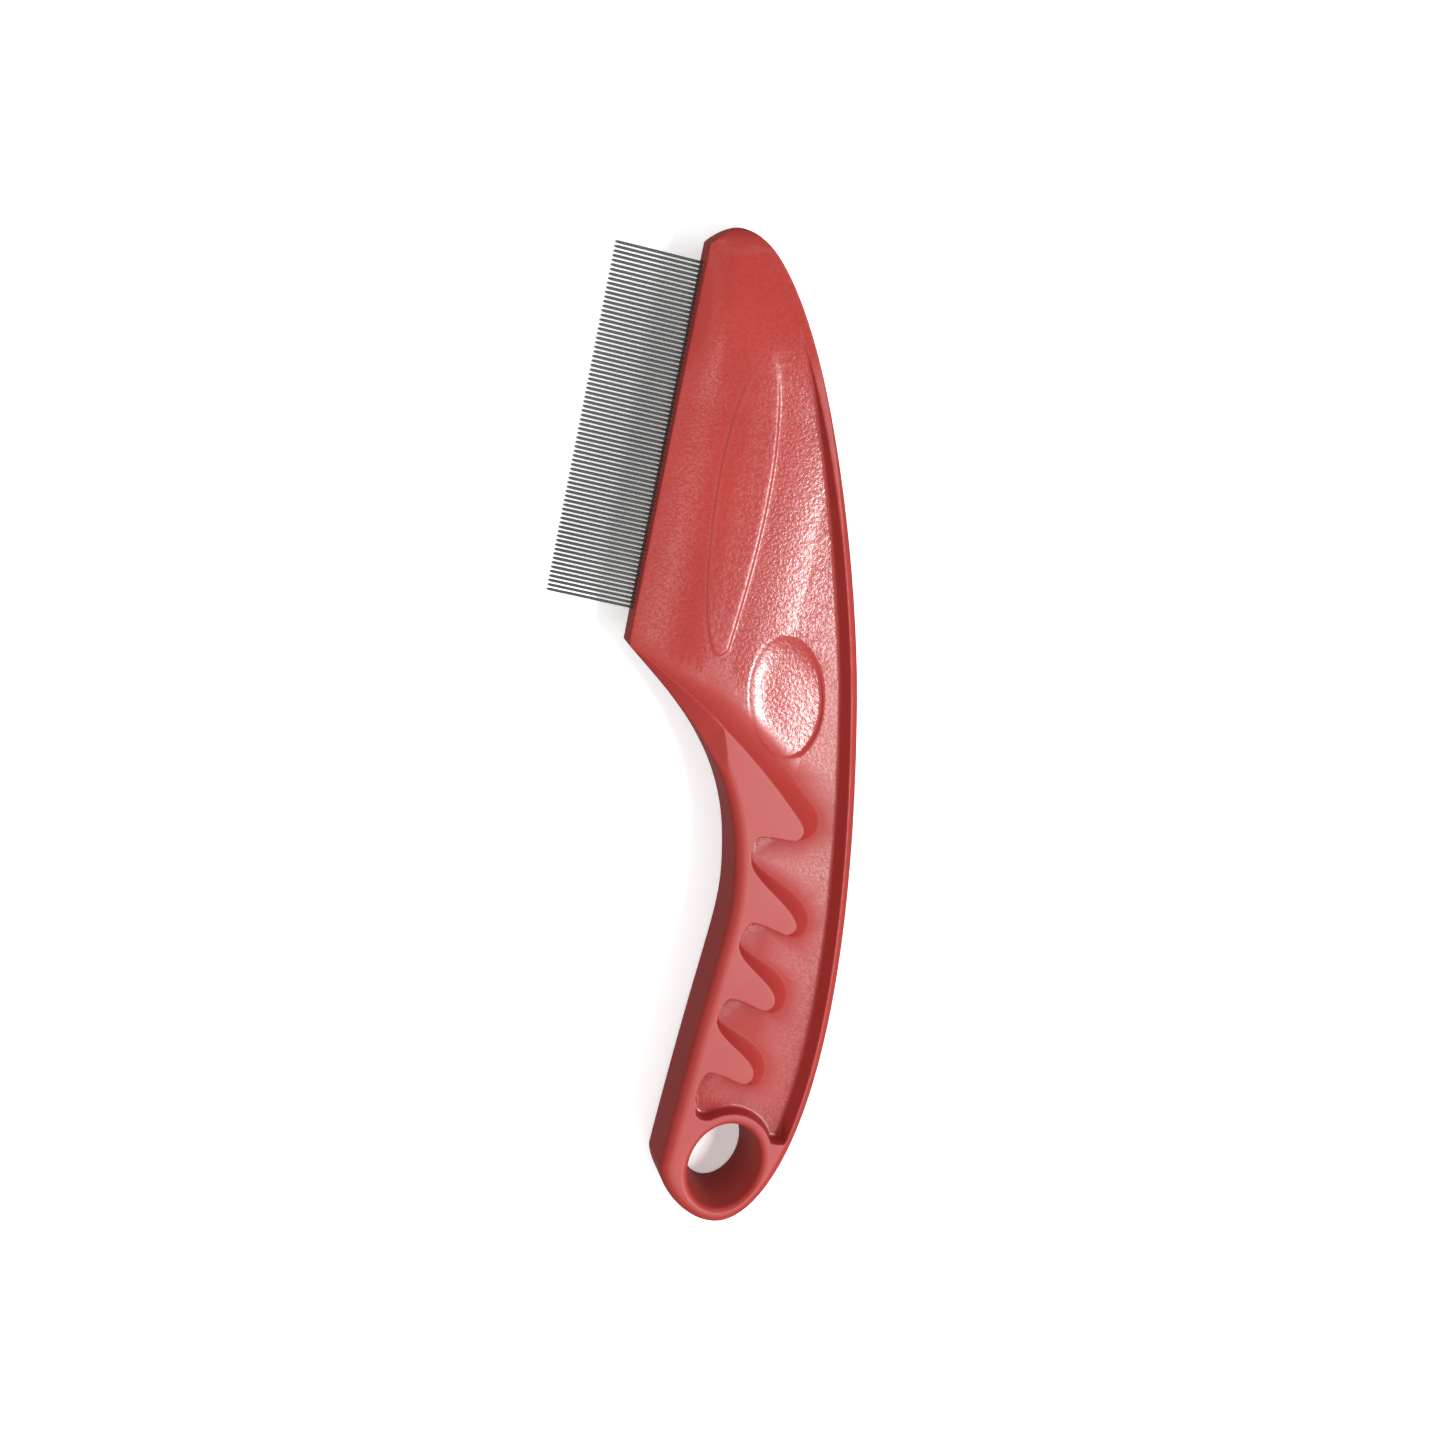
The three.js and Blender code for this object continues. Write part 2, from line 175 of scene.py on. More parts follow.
def round_hole(degrees, outside):
    """Places on the oval round the hole's centre, so far outside the hole."""
    a = np.radians(np.atleast_1d(degrees))[:, None]
    long_way = np.array([-math.sin(HOLE_TILT), math.cos(HOLE_TILT)])
    wide_way = np.array([math.cos(HOLE_TILT), math.sin(HOLE_TILT)])
    reach = (HOLE_WIDE / 2 + outside) * np.cos(a) * wide_way
    return hole_centre + reach + (HOLE_LONG / 2 + outside) * np.sin(a) * long_way


def fins():
    """The fins' edge, from the lowest notch up to the first fin's tip, and its banked runs."""
    runs, banked, before = [], [], None
    for share in reversed(FIN_SHARES):
        place, up, across = beside_grip(share)

        def spot(rise, reach):  # a place so far up the grip and in from its plain strip
            return place + rise * MM * up + (STRIP + reach * MM) * across

        def way(rise, reach):  # the same as a distance
            return (rise * up + reach * across) * MM

        notch, notch_top, under, tip = spot(0, 0), spot(4.1, 1.4), spot(3.0, 7.6), spot(4.9, 9.2)
        if before is None:
            first = curve(boss_end, step(-1.6, -0.4), way(1.6, 0), spot(-3.0, 0.7), 8)
            runs += [first, curve(spot(-3.0, 0.7), way(0.8, 0), way(1, 0), notch, 8)]
        else:
            slope = curve(before, way(3.5, 0), way(3.5, 0), notch, 30)
            banked.append(np.concatenate([runs[-1], slope[1:]]))
            runs.append(slope)
        runs.append(curve(notch, way(2.2, 0), way(0, 0.8), notch_top, 12))
        runs.append(curve(notch_top, way(0, 2.2), way(-0.5, 2.4), under, 14))
        runs.append(curve(under, way(0.2, 0.9), way(0.9, 0), tip, 12))
        before = tip
    return runs, banked


boss_arc = round_hole(np.linspace(40, 130, 28), BOSS)
boss_end = boss_arc[-1]
fin_runs, fin_banks = fins()
fin_tip = fin_runs[-1][-1]
ridge_start = fin_tip + step(-1.6, 3.3)
ridge_bend = (ridge_start + chin) / 2 + step(2.5, 2.4)
ridge = curve(ridge_start, (ridge_bend - ridge_start) * 2 / 3, (chin - ridge_bend) * 2 / 3, chin)
ridge_turn = curve(fin_tip, step(0, 1.1), step(-0.5, 0.8), ridge_start, 8)

whole_back = np.concatenate([back_lower, back_upper[1:]])
rim_edge = sideways(whole_back, RIM_WIDTH)[::-1]
rim_edge = rim_edge[rim_edge[:, 1] > hole_centre[1] + RIM_STOP]
recess_edge = joined(
    [rim_edge[0] + step(0, 60)],
    rim_edge,
    boss_arc,
    *fin_runs,
    ridge_turn,
    ridge,
    [chin + step(-60, 30), chin + step(-60, 130)],
)
print("the recess edge has", len(recess_edge), "points")

# %% [markdown]
# ## From drawing to solid
# A flat drawing becomes a solid as a 2D curve that is filled, extruded and given a rounded rim,
# and then turned into a mesh. The same function makes the body, the cutters and the floor.
# A solid that stands upright, such as the handle's side profile, is the same thing tipped up.

# %% Helpers for solids
def select_only(*objects):
    """Deselects everything else, because an operator acts on all that is selected."""
    bpy.ops.object.select_all(action="DESELECT")
    for o in objects:
        o.select_set(True)
    bpy.context.view_layer.objects.active = objects[0]


def close_mesh(o):
    """Merges a mesh's doubled points and turns all its faces outwards."""
    select_only(o)
    bpy.ops.object.mode_set(mode="EDIT")
    bpy.ops.mesh.select_all(action="SELECT")
    bpy.ops.mesh.remove_doubles(threshold=1e-7)
    bpy.ops.mesh.normals_make_consistent(inside=False)
    bpy.ops.object.mode_set(mode="OBJECT")


def plate(name, points, low, high, rim=0.0, steps=0, inset=None):
    """The region inside a run of points, raised from one level to another."""
    drawing = bpy.data.curves.new(name, "CURVE")
    drawing.dimensions = "2D"
    drawing.fill_mode = "BOTH"
    spline = drawing.splines.new("POLY")
    spline.points.add(len(points) - 1)
    for point, (x, y) in zip(spline.points, points):
        point.co = (x, y, 0, 1)
    spline.use_cyclic_u = True
    drawing.extrude = (high - low) / 2 - rim
    drawing.bevel_depth = rim
    drawing.bevel_resolution = steps
    drawing.offset = -rim if inset is None else -inset
    o = bpy.data.objects.new(name, drawing)
    bpy.context.scene.collection.objects.link(o)
    select_only(o)
    bpy.ops.object.convert(target="MESH")
    o = bpy.context.object
    bpy.ops.transform.translate(value=(0, 0, (low + high) / 2))
    bpy.ops.object.transform_apply(location=True, rotation=True, scale=True)
    close_mesh(o)
    return o


def upright(name, points, place, direction, half_width):
    """A plate tipped up: its x runs along a level direction from a place, its y is height."""
    o = plate(name, points, -half_width, half_width)
    along = Vector((*direction, 0))
    across = along.cross(Vector((0, 0, 1)))
    turn = Matrix((along, (0, 0, 1), across)).transposed().to_4x4()
    o.matrix_world = Matrix.Translation((*place, MIDDLE)) @ turn
    select_only(o)
    bpy.ops.object.transform_apply(location=True, rotation=True, scale=True)
    return o


def combine(target, tool, operation):
    """Joins a tool to a solid, cuts it away, or keeps what both share."""
    select_only(target)
    bpy.ops.object.modifier_add(type="BOOLEAN")
    modifier = target.modifiers[-1]
    modifier.operation = operation
    modifier.solver = "MANIFOLD"
    modifier.object = tool
    bpy.ops.object.modifier_apply(modifier=modifier.name)
    bpy.data.objects.remove(tool)


def mirrored_in_z(o, name):
    """A copy of a solid, mirrored in the level halfway up the handle."""
    twin = o.copy()
    twin.data = o.data.copy()
    twin.name = name
    bpy.context.scene.collection.objects.link(twin)
    select_only(twin)
    bpy.ops.transform.resize(value=(1, 1, -1), center_override=(0, 0, MIDDLE))
    bpy.ops.object.transform_apply(location=True, rotation=True, scale=True)
    close_mesh(twin)
    return twin


# %% [markdown]
# ## The rough handle
# The mould maker's order works here too: a rounded blank, two recesses cut right through it,
# and the floor put back between them. The floor is thinnest at the toothed edge and swells to
# a crown under the leaf. Its height is a function of the distance from that edge, and by the
# nose it gives way to the handle's own height, so that the head ends in one smooth dome.

# %% Heights of the handle and of the floor
HALF = THICKNESS / 2
TOP = MIDDLE + HALF
CLEAR = 60 * MM  # well past the comb on any side
# half heights of the floor, and how far in from the toothed edge each one lies
EDGE_HALF, CROWN_HALF, RIM_HALF, FLOOR_HALF = 2.8 * MM, 4.6 * MM, 3.76 * MM, 3.33 * MM
CROWN_INSET, RIM_INSET, LEVEL_INSET = 13 * MM, 34 * MM, 45 * MM
RIM_SLOPE = 0.115  # how steeply the floor falls where it meets the head's rim
FADE_START = at(0, 17)[1]  # from here up the whole handle gets thinner
NOSE_HALF, NOSE_ROUND = 3.5 * MM, 5 * MM
NOSE_CLOSE = 0.96  # how nearly the rounding closes the nose
BLEND_FROM, BLEND_TO = 36 * MM, 58 * MM  # stations where the crown gives way to the nose
NOSE_RISE = 6 * MM
SKIN = 0.03 * MM  # the floor stays this far below the nose's own surface


def pair(x, y):
    """Two lengths as a point on a graph."""
    return np.array([x, y])


def floor_run():
    """Half height of the floor against the distance in from the toothed edge."""
    third, rise = CROWN_INSET / 3, CROWN_HALF - EDGE_HALF
    crown, rim = pair(CROWN_INSET, CROWN_HALF), pair(RIM_INSET, RIM_HALF)
    swell = curve(pair(0, EDGE_HALF), pair(third, rise * 2 / 3), pair(third, 0), crown)
    third = (RIM_INSET - CROWN_INSET) / 3
    fall = curve(crown, pair(third, 0), pair(third, -RIM_SLOPE * third), rim)
    third = (LEVEL_INSET - RIM_INSET) / 3
    flat = curve(rim, pair(third, -RIM_SLOPE * third), pair(third, 0), pair(LEVEL_INSET, FLOOR_HALF))
    start, end = pair(-5 * MM, EDGE_HALF), pair(LEVEL_INSET + CLEAR, FLOOR_HALF)
    return np.concatenate([[start], swell, fall[1:], flat[1:], [end]])


def thinning_run():
    """Half height of the whole handle against the place along it."""
    t = np.sin(np.linspace(0, math.pi / 2, 70))[:, None]
    start, end = pair(FADE_START, HALF), pair(nose[1], NOSE_HALF)
    bend = pair((FADE_START + nose[1]) / 2, HALF)
    fade = (1 - t) ** 2 * start + 2 * (1 - t) * t * bend + t**2 * end
    near_nose = np.clip(1 - (nose[1] - fade[:, 0]) / NOSE_ROUND, 0, 1)
    fade[:, 1] *= np.sqrt(1 - NOSE_CLOSE * near_nose**2)
    return np.concatenate([[pair(heel[1] - MM, HALF)], fade, [pair(nose[1] + MM, 0.3 * MM)]])


floor_half, handle_half = floor_run(), thinning_run()


def floor_level(points):
    """Height of the upper floor under each place."""
    inset, station = (points - row_foot) @ row_inward, (points - row_foot) @ row_along
    crown = np.interp(inset, floor_half[:, 0], floor_half[:, 1])
    full = np.interp(points[:, 1], handle_half[:, 0], handle_half[:, 1]) - SKIN
    rise = 1 - (1 - np.clip(inset / NOSE_RISE, 0, 1)) ** 2
    by_nose = EDGE_HALF + (full - EDGE_HALF) * rise
    t = np.clip((station - BLEND_FROM) / (BLEND_TO - BLEND_FROM), 0, 1)
    share = t * t * (3 - 2 * t)
    return MIDDLE + crown * (1 - share) + by_nose * share


def top_level(points):
    """Height of the handle's upper face over each place."""
    return MIDDLE + np.interp(points[:, 1], handle_half[:, 0], handle_half[:, 1])


def lens(upper):
    """The region between a run of half heights and its mirror image."""
    return np.concatenate([upper, (upper * [1, -1])[::-1]])


print("half heights, mm: crown", round(floor_half[:, 1].max() / MM, 2), "edge", EDGE_HALF / MM)

# %% [markdown]
# ## Solids from sections
# Where a height changes in two directions at once, an extrusion isn't enough. A loft joins a
# row of sections, point to point. The crowned floor is one, with a section at each station up
# the toothed edge, and so are the banks, the chin's facet, the dish and the hole further down.

# %% Lofted solids
LEAF_END, LEAF_FADE = 50 * MM, 12 * MM  # the leaf's raised edge runs out towards its tip


def loft(name, sections):
    """A closed solid through a row of sections, each with the same number of points."""
    count, around = len(sections), len(sections[0])
    faces = [list(range(around))[::-1], list(range((count - 1) * around, count * around))]
    for i in range(count - 1):
        for j in range(around):
            a, b = i * around + j, i * around + (j + 1) % around
            faces.append([a, b, b + around, a + around])
    mesh = bpy.data.meshes.new(name)
    mesh.from_pydata([tuple(p) for s in sections for p in s], [], faces)
    o = bpy.data.objects.new(name, mesh)
    bpy.context.scene.collection.objects.link(o)
    close_mesh(o)
    return o


def crowned_floor(name, lift=0.0):
    """The floor as a loft: one section across the handle at each station up the toothed edge."""
    below, above = [-140 * MM, BLEND_FROM - 20 * MM], [90 * MM]
    stations = np.concatenate([below, np.linspace(BLEND_FROM, BLEND_TO + 6 * MM, 30), above])
    across = np.concatenate([[-8 * MM], np.linspace(0, 28, 57) * MM, [CLEAR]])
    sections = []
    for station in stations:
        places = row_foot + station * row_along + across[:, None] * row_inward
        lifted = lift * min(max((LEAF_END - station) / LEAF_FADE, 0), 1)
        rise = floor_level(places) - MIDDLE + lifted
        over = [(*p, MIDDLE + h) for p, h in zip(places, rise)]
        under = [(*p, MIDDLE - h) for p, h in zip(places[::-1], rise[::-1])]
        sections.append(over + under)
    return loft(name, sections)


# %% [markdown]
# ## Blank, recesses and floor
# The blank is one plate with rounded edges. The recess goes right through as a core, its two
# mouths get walls with a little draft, and the crowned floor, cut to the outline, closes it.

# %% Make the rough handle
EDGE_ROUND, ROUND_STEPS = 2.1 * MM, 6
WALL_RUN = 0.35 * MM  # draft of the recess walls

handle = plate("handle_moulding", outline, handle_low.z, handle_high.z, EDGE_ROUND, ROUND_STEPS)
combine(handle, plate("core", recess_edge, -MM, THICKNESS + MM, inset=WALL_RUN), "DIFFERENCE")
depth = HALF - FLOOR_HALF
mouth = plate("mouth", recess_edge, -1.5 * WALL_RUN, 1.5 * WALL_RUN, WALL_RUN)
select_only(mouth)
bpy.ops.transform.resize(value=(1, 1, depth / WALL_RUN))
bpy.ops.transform.translate(value=(0, 0, THICKNESS + depth / 2))
bpy.ops.object.transform_apply(location=True, rotation=True, scale=True)
combine(handle, mirrored_in_z(mouth, "mouth_below"), "DIFFERENCE")
combine(handle, mouth, "DIFFERENCE")
floor_slab = plate("floor_slab", outline, -MM, THICKNESS + MM)
combine(floor_slab, crowned_floor("crown"), "INTERSECT")
combine(handle, floor_slab, "UNION")
print("the rough handle has", len(handle.data.polygons), "faces")

# %% [markdown]
# ## Sloping banks
# The rim, the ridge and the fins don't drop straight to the floor: each has a bank, crisp at
# the top and hollow towards its foot. A bevel can't make a slope that is wider at one end than
# at the other, so each bank is a row of sections joined one to the next.

# %% A bank as a loft
ROOT, BURIED = 0.4 * MM, 0.6 * MM  # how far a bank reaches into its wall and into the floor


def bank(name, run, widths, tops, hollow):
    """A bank on the right of a run, so wide at each point and starting at those levels."""
    feet = sideways(run, -1.0) - run
    floors = floor_level(run + feet * widths[:, None])
    sections = []
    for p, foot, width, top, floor in zip(run, feet, widths, tops, floors):
        section = [(*(p - ROOT * foot), floor - BURIED), (*p, top)]
        for s in (0.08, 0.18, 0.3, 0.44, 0.6, 0.78):
            level = floor + (top - floor) * (1 - s) ** hollow
            section.append((*(p + s * width * foot), level))
        section.append((*(p + width * foot), floor))
        section.append((*(p + width * foot), floor - BURIED))
        sections.append(section)
    return loft(name, sections)


def add_on_both_faces(tool, operation):
    """Applies a tool at the upper face and its mirror image at the underside."""
    combine(handle, mirrored_in_z(tool, tool.name + "_below"), operation)
    combine(handle, tool, operation)


def bank_shape(count, start, end):
    """Shares of a bank's full width: it grows over its first part and shrinks over its last."""
    least = 0.12
    t = np.linspace(0, 1, count)
    rise = np.clip(t / start, 0, 1) if start else np.ones(count)
    fall = np.clip((1 - t) / end, 0, 1) if end else np.ones(count)
    ease = rise * fall
    return least + (1 - least) * ease * ease * (3 - 2 * ease)


# %% [markdown]
# ## Banks along the rim, the ridge and the fins
# The rim's bank is narrow and nearly straight, the ridge's is wide, and each fin's is widest in
# its middle. The ridge also comes down along its length, from the fin's tip to the chin. The
# feet of all the banks are kept in a list, because the finish changes beside them.

# %% Add the banks
SINK = 0.01 * MM  # a bank starts this little below its edge, so that no two faces coincide
RIM_BANK, RIDGE_BANK = 0.42, 1.6  # width against height
FIN_BANK = 4.6 * MM
RIM_HOLLOW, RIDGE_HOLLOW, FIN_HOLLOW = 1.1, 1.8, 2.2
rim_tops = top_level(rim_edge)
rim_widths = RIM_BANK * (rim_tops - floor_level(rim_edge)) * bank_shape(len(rim_edge), 0, 0.04)
rim_bank = bank("rim_bank", rim_edge, rim_widths, rim_tops - SINK, RIM_HOLLOW)
add_on_both_faces(rim_bank, "UNION")

ridge_share = np.linspace(0, 1, len(ridge))[::-1]  # 1 at its foot by the fin, 0 at the chin
fall_share = np.clip(ridge_share / 0.5, 0, 1)
chin_level = MIDDLE + EDGE_HALF + 0.25 * MM
ridge_tops = chin_level + (TOP - chin_level) * (1 - (1 - fall_share) ** 1.5)
ridge_run = joined(fin_runs[-1][:-1], ridge_turn[:-1], ridge)
run_tops = np.concatenate([np.full(len(ridge_run) - len(ridge), TOP), ridge_tops])
ridge_heights = run_tops - floor_level(ridge_run)
ridge_widths = RIDGE_BANK * ridge_heights * bank_shape(len(ridge_run), 0.25, 0)
ridge_bank = bank("ridge_bank", ridge_run, ridge_widths, run_tops - SINK, RIDGE_HOLLOW)
add_on_both_faces(ridge_bank, "UNION")

feet = [(rim_edge, rim_widths - 2 * MM), (ridge_run, ridge_widths)]
feet.append((recess_edge, np.full(len(recess_edge), -1.2 * MM)))
for number, run in enumerate(fin_banks):
    tops = np.full(len(run), TOP - SINK)
    widths = FIN_BANK * bank_shape(len(run), 0.22, 0.6)
    add_on_both_faces(bank(f"fin_bank_{number}", run, widths, tops, FIN_HOLLOW), "UNION")
    feet.append((run, widths))
combine(handle, plate("trim", outline, -MM, THICKNESS + MM), "INTERSECT")
print("with its banks:", len(handle.data.polygons), "faces")

# %% [markdown]
# ## The chin, the side profile and the hole
# Towards the chin the raised border runs out: a slanting facet falls from the ridge to the
# neck's edge. Its cutter reaches a little past the ridge, or thin slivers of the border would
# stay standing there. The whole handle is then kept inside its side profile, which thins to
# the nose. The hanging hole is a loft of ovals, because it has draft and rounded mouths.

# %% Cut the chin
FACET_STEPS = 33  # along the neck's 40, counted from the chin
FACET_WIDTH, FACET_TAPER = 2.9, 2.2  # millimetres: its width past the ridge, and what that loses
FACET_REACH = 0.35  # millimetres that the cutter goes past the ridge
beside = len(ridge) // 2  # up to here the facet starts at the ridge
facet_neck = neck[:FACET_STEPS]
facet_out = sideways(neck, -4 * MM)[:FACET_STEPS]
past = np.clip((np.arange(FACET_STEPS) - beside) / (FACET_STEPS - 1 - beside), 0, 1)
ridge_offset = ridge[::-1][: beside + 1] - neck[: beside + 1]
rest = FACET_STEPS - beside - 1
ridge_offset = np.concatenate([ridge_offset, np.tile(ridge_offset[-1], (rest, 1))])
inward = (sideways(neck, MM) - neck)[:FACET_STEPS]
blend = np.clip(past * 2.5, 0, 1)[:, None]
facet_width = FACET_WIDTH - FACET_TAPER * past[:, None]
facet_inner = facet_neck + (1 - blend) * ridge_offset + blend * inward * facet_width
inner_level = np.concatenate([ridge_tops[::-1][: beside + 1], np.full(rest, TOP)])
near_chin = np.clip(np.arange(FACET_STEPS) / beside, 0, 1)
drop = (0.5 + 1.9 * np.sin(math.pi / 2 * near_chin)) * MM * (1 - past) ** 1.3
within = facet_inner + FACET_REACH * inward
above = TOP + 2 * MM
sections = []
for w, r, n, out, level, fall in zip(
    within, facet_inner, facet_neck, facet_out, inner_level, drop
):
    section = [(*w, level), (*r, level), (*n, level - fall), (*out, level - 1.5 * fall)]
    sections.append(section + [(*out, above), (*w, above)])
add_on_both_faces(loft("chin_facet", sections), "DIFFERENCE")
print("after the chin:", len(handle.data.polygons), "faces")

# %% [markdown]
# ## The side profile and the hole
# The profile is a plate tipped up on its side, wider than the comb, and only what it shares
# with the handle is kept.

# %% Cut the profile and the hole
profile = upright("profile", lens(handle_half), (0, 0), (0, 1), CLEAR)
combine(handle, profile, "INTERSECT")

HOLE_DRAFT = 1.4 * MM  # how much the hole narrows all round, from the top to the underside
HOLE_FLARE = 1.2 * MM  # rounding of its two mouths
hole_angles = np.linspace(0, 360, 96, endpoint=False)
rings = [(handle_low.z - MM, HOLE_FLARE - HOLE_DRAFT)]
for a in np.radians(np.linspace(90, 0, 7)):
    sink, spread = HOLE_FLARE * (1 - math.sin(a)), HOLE_FLARE * (1 - math.cos(a))
    rings.append((handle_low.z + sink, spread - HOLE_DRAFT))
for a in np.radians(np.linspace(0, 90, 7)):
    sink, spread = HOLE_FLARE * (1 - math.sin(a)), HOLE_FLARE * (1 - math.cos(a))
    rings.append((TOP - sink, spread))
rings.append((TOP + MM, HOLE_FLARE))
hole = loft("hole", [[(*p, z) for p in round_hole(hole_angles, outside)] for z, outside in rings])
combine(handle, hole, "DIFFERENCE")
print("after the profile and the hole:", len(handle.data.polygons), "faces")

# %% [markdown]
# ## The leaf and the thumb dish
# A low leaf-shaped panel lies on the crown, and a shallow dish beside it takes the thumb.
# The leaf is the same crowned floor again, cut to the leaf's outline and lifted a little.
# The dish is a loft of shrinking ovals that follow the floor and sink below it, steeply at
# first and hardly at all in the middle.

# %% Leaf and dish
LEAF_LIFT = 0.2 * MM
leaf_plan = joined(
    curve(at(-2.3, 13.6), step(0.4, -0.9), step(0.8, 0.8), at(0, 13.8), 8),
    curve(at(0, 13.8), step(3.2, 10.5), step(0.5, 13), at(8.6, 53), 30),
    curve(at(8.6, 53), step(0.3, 6), step(-1.6, 0.2), at(7, 64.6), 12),
    curve(at(7, 64.6), step(-7.5, -7.1), step(-0.1, -13), at(-3.5, 21), 40),
    curve(at(-3.5, 21), step(0, -3), step(0.5, -1.2), at(-2.3, 13.6), 12),
)
leaf = plate("leaf", leaf_plan, MIDDLE - 8 * MM, MIDDLE + 8 * MM)
combine(leaf, crowned_floor("lifted_crown", LEAF_LIFT), "INTERSECT")
combine(handle, leaf, "UNION")

DISH_WIDE, DISH_LONG, DISH_DEEP, DISH_TILT = 13.2 * MM, 21.8 * MM, 0.3 * MM, math.radians(4)
DISH_FLAT = 0.4  # how much of the crown's fall the dish's bottom leaves out
DISH_POWER = 5  # the higher it is, the flatter the bottom
dish_centre = at(10.3, 5)
angles = np.linspace(0, 2 * math.pi, 72, endpoint=False)
oval = np.stack([DISH_WIDE / 2 * np.cos(angles), DISH_LONG / 2 * np.sin(angles)], axis=1)
cos, sin = math.cos(DISH_TILT), math.sin(DISH_TILT)
turn = np.array([[cos, sin], [-sin, cos]])
rings = []
for share in (1.0, 1.0, 0.97, 0.92, 0.86, 0.78, 0.68, 0.56, 0.42, 0.28, 0.12):
    places = share * oval @ turn + dish_centre
    sunk = 1 - share**DISH_POWER
    drop = DISH_DEEP * sunk if rings else -MM  # the first oval stands clear above the floor
    levels = floor_level(places)
    levels += DISH_FLAT * sunk * (floor_level(dish_centre[None])[0] - levels)
    rings.append([(*p, level - drop) for p, level in zip(places, levels)])
dish = loft("dish", rings)
add_on_both_faces(dish, "DIFFERENCE")
print("with the leaf and the dish:", len(handle.data.polygons), "faces")

# %% [markdown]
# ## Softening
# No moulded edge is knife sharp. A voxel remesh turns the rough solid into an even skin, a few
# rounds of smoothing soften each edge by a fraction of a millimetre, and a decimation keeps
# small faces only where the surface bends. A bevel would fail here, where many small faces meet.

# %% Remesh, smooth and thin out
VOXEL = 0.2 * MM
SMOOTH_FACTOR, SMOOTH_ROUNDS = 0.5, 4
WANTED_FACES = 190000
select_only(handle)
bpy.ops.object.modifier_add(type="REMESH")
remesh = handle.modifiers[-1]
remesh.mode = "VOXEL"
remesh.voxel_size = VOXEL
bpy.ops.object.modifier_apply(modifier=remesh.name)
bpy.ops.object.modifier_add(type="SMOOTH")
smooth = handle.modifiers[-1]
smooth.factor = SMOOTH_FACTOR
smooth.iterations = SMOOTH_ROUNDS
bpy.ops.object.modifier_apply(modifier=smooth.name)
triangles = 2 * len(handle.data.polygons)
if triangles > WANTED_FACES:
    bpy.ops.object.modifier_add(type="DECIMATE")
    thin = handle.modifiers[-1]
    thin.ratio = WANTED_FACES / triangles
    bpy.ops.object.modifier_apply(modifier=thin.name)
bpy.ops.object.shade_smooth()
print("softened handle:", triangles, "triangles thinned to", len(handle.data.polygons))

# %% [markdown]
# ## Where the finish changes
# Two numbers at each vertex tell the material where it is. "level" is 1 on level faces away
# from the banks, and "sunk" is 1 where such a face is a floor. Both fade to 0 beside the
# banks' feet and the leaf's edge, which stay duller than the open floor.

# %% Mark level faces and floors
FOOT_FADE = 2 * MM  # width of the fade beside a foot
LEVEL_FROM, LEVEL_FADE = 0.93, 0.05  # upright share of a normal where "level" starts and grows
TOP_DEPTH = 0.3 * MM  # what lies nearer than this to the upper face is never beside a foot
SUNK_END, SUNK_FADE = 0.9, 0.6  # millimetres above the floor where "sunk" is 0, and its fade
normals = np.empty(3 * len(handle.data.vertices))
handle.data.vertex_normals.foreach_get("vector", normals)
places = np.empty(3 * len(handle.data.vertices))
handle.data.vertices.foreach_get("co", places)
normals, places = normals.reshape(-1, 3), places.reshape(-1, 3)
feet.append((leaf_plan, np.full(len(leaf_plan), -MM)))
below_top = top_level(places[:, :2]) - MIDDLE - np.abs(places[:, 2] - MIDDLE)
past_foot = np.full(len(places), FOOT_FADE)
for run, widths in feet:
    for point, width in zip(run, widths):
        past_foot = np.minimum(past_foot, np.linalg.norm(places[:, :2] - point, axis=1) - width)
off_bank = np.clip(past_foot / FOOT_FADE, 0, 1)
off_bank[below_top < TOP_DEPTH] = 1
level = np.clip((np.abs(normals[:, 2]) - LEVEL_FROM) / LEVEL_FADE, 0, 1) * off_bank
above_floor = np.abs(places[:, 2] - MIDDLE) + MIDDLE - floor_level(places[:, :2])
sunk = np.clip((SUNK_END - above_floor / MM) / SUNK_FADE, 0, 1) * level
for name, values in (("level", level), ("sunk", sunk)):
    handle.data.attributes.new(name, "FLOAT", "POINT").data.foreach_set("value", values)
print("vertices on the floors:", int((sunk > 0.5).sum()), "of", len(sunk))

# %% [markdown]
# ## The teeth
# Each pair of teeth is one steel wire bent like a hairpin, with its bend hidden in the head.
# A curve with a round section makes the wire, and its radius tapers at the two tips. All the
# pairs are alike, so one is modelled and a copy of it is moved to each CAD pair's place.

# %% One hairpin and its copies
WIRE, SEAT, REACH = 0.5 * MM, 4 * MM, 15.2 * MM
LEAN = math.radians(2.5)  # the teeth lean a little from square to their edge
ROW = 59.1 * MM
PITCH = ROW / (2 * len(tooth_nodes) - 1)
BEND = PITCH * math.cos(LEAN) / 2
# millimetres from the tip, and the wire's thickness there
tip_shape = ((0, 0.32), (0.05, 0.5), (0.15, 0.68), (0.35, 0.9), (0.7, 1.0), (5, 1.0), (10, 1.0))

straight = SEAT + REACH
leg = [(straight - s * MM, BEND, r) for s, r in tip_shape] + [(0, BEND, 1.0)]
bend = [
    (-BEND * math.sin(a), BEND * math.cos(a), 1.0) for a in np.radians([30, 60, 90, 120, 150])
]
path = leg + bend + [(x, -y, r) for x, y, r in reversed(leg)]
drawing = bpy.data.curves.new("hairpin", "CURVE")
drawing.dimensions = "3D"
drawing.bevel_depth = WIRE / 2
drawing.bevel_resolution = 2
drawing.use_fill_caps = True
spline = drawing.splines.new("POLY")
spline.points.add(len(path) - 1)
for point, (x, y, r) in zip(spline.points, path):
    point.co = (x, y, 0, 1)
    point.radius = r
hairpin = bpy.data.objects.new("hairpin", drawing)
bpy.context.scene.collection.objects.link(hairpin)
select_only(hairpin)
